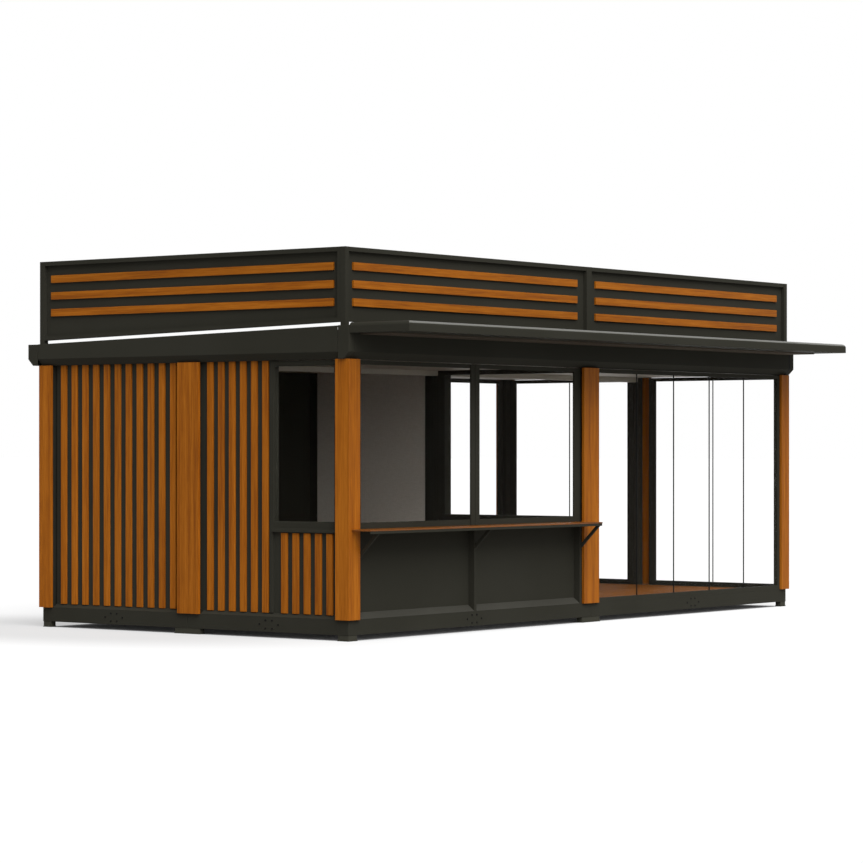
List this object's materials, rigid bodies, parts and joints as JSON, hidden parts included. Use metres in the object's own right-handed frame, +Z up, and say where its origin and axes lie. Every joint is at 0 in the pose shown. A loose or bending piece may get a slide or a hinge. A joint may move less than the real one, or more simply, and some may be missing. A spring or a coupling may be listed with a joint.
{
  "type": "prefabricated pavilion",
  "caption": "Prefabricated pavilion with wood battens, a serving counter, a glazed room, a canopy and a parapet.",
  "frame": {"origin": "under the centre foot, at the middle of the plan on the ground", "axes": "+X along the counter side towards the glazed room, +Y towards the back, +Z up"},
  "size_m": [8.09, 4.84, 3.668],
  "materials": {
    "base_steel": "matt dark paint",
    "dark_steel": "satin dark powder coat",
    "floor_wood": "sealed, satin",
    "oiled_wood": "oiled, satin",
    "clear_glass": "clear, polished",
    "grey_lining": "matt grey coating",
    "pale_ceiling": "matt off-white coating",
    "roof_sheet": "matt grey coating"
  },
  "bodies": {
    "root": {"feet": "base_steel", "base_front": "dark_steel", "base_back": "dark_steel", "base_left": "dark_steel", "base_right": "dark_steel", "base_centre": "base_steel", "floor_joists": "base_steel", "floor_boards": "floor_wood", "corner_posts": "dark_steel", "mid_posts": "dark_steel", "centre_column": "dark_steel", "cladding_corners": "oiled_wood", "cladding_mid": "oiled_wood", "left_wall_rear": "dark_steel", "left_wall_front": "dark_steel", "left_battens": "oiled_wood", "left_window_frame": "dark_steel", "left_window_glass": "clear_glass", "counter_wall": "dark_steel", "serving_window_frame": "dark_steel", "serving_window_glass": "clear_glass", "counter_board": "oiled_wood", "counter_brackets": "dark_steel", "front_glazing_frame": "dark_steel", "front_glass": "clear_glass", "right_glazing_frames": "dark_steel", "right_glass": "clear_glass", "back_glazing_frame": "dark_steel", "back_glass": "clear_glass", "back_wall": "dark_steel", "back_battens": "oiled_wood", "partition_frame": "dark_steel", "partition_wall": "grey_lining", "low_wall": "grey_lining", "ceiling": "pale_ceiling", "roof_deck": "roof_sheet", "fascia_front": "dark_steel", "fascia_back": "dark_steel", "fascia_sides": "dark_steel", "canopy": "dark_steel", "parapet_front": "dark_steel", "parapet_sides": "dark_steel", "parapet_battens": "oiled_wood"}
  },
  "joints": []
}
